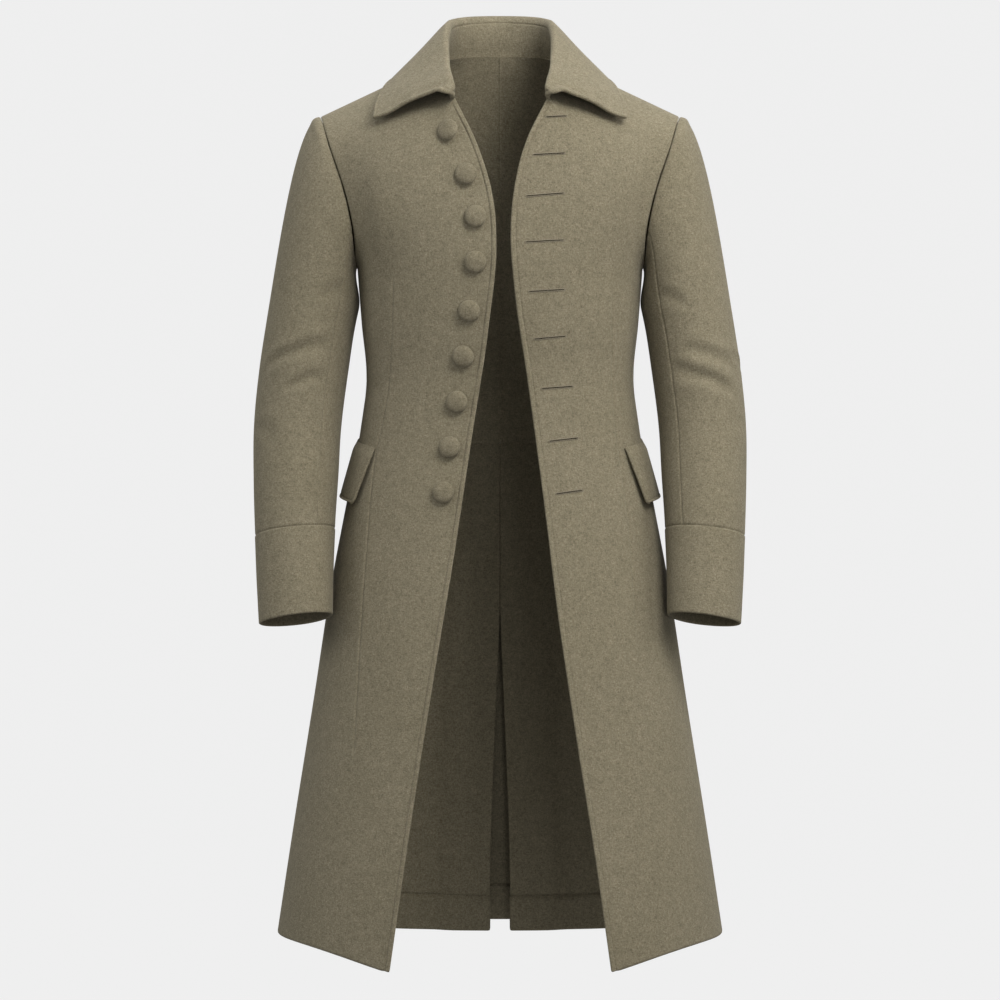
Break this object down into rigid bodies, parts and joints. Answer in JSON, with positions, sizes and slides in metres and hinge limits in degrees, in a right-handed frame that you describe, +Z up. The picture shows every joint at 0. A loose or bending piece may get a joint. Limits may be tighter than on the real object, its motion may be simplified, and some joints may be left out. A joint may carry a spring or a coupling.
{
  "type": "long fitted wool coat, filled out with no wearer",
  "caption": "Long fitted coat worn open: turned-down collar, covered buttons, worked buttonholes, hip pocket flaps, cuffs and a box pleat below the waist behind.",
  "frame": {"origin": "midway between the shoulder neck points, where the wearer's shoulders and neck hold the coat", "axes": "+Z up along the wearer, -Y out of the coat's front, +X to the wearer's left"},
  "size_m": [0.6062, 0.4293, 1.1684],
  "materials": {
    "wool_cloth": "matt milled olive-brown wool with a fine heathered surface",
    "button_cloth": "the same cloth stretched over domed buttons"
  },
  "bodies": {
    "root": {"front_right": "wool_cloth", "front_left": "wool_cloth", "back_right": "wool_cloth", "back_left": "wool_cloth", "skirt_back_right": "wool_cloth", "skirt_back_left": "wool_cloth", "pleat_insert": "wool_cloth", "sleeve_top_right": "wool_cloth", "sleeve_top_left": "wool_cloth", "sleeve_under_right": "wool_cloth", "sleeve_under_left": "wool_cloth", "cuff_right": "wool_cloth", "cuff_left": "wool_cloth", "collar": "wool_cloth", "pocket_flap_right": "wool_cloth", "pocket_flap_left": "wool_cloth", "button_1": "button_cloth", "button_2": "button_cloth", "button_3": "button_cloth", "button_4": "button_cloth", "button_5": "button_cloth", "button_6": "button_cloth", "button_7": "button_cloth", "button_8": "button_cloth", "button_9": "button_cloth"}
  },
  "joints": []
}
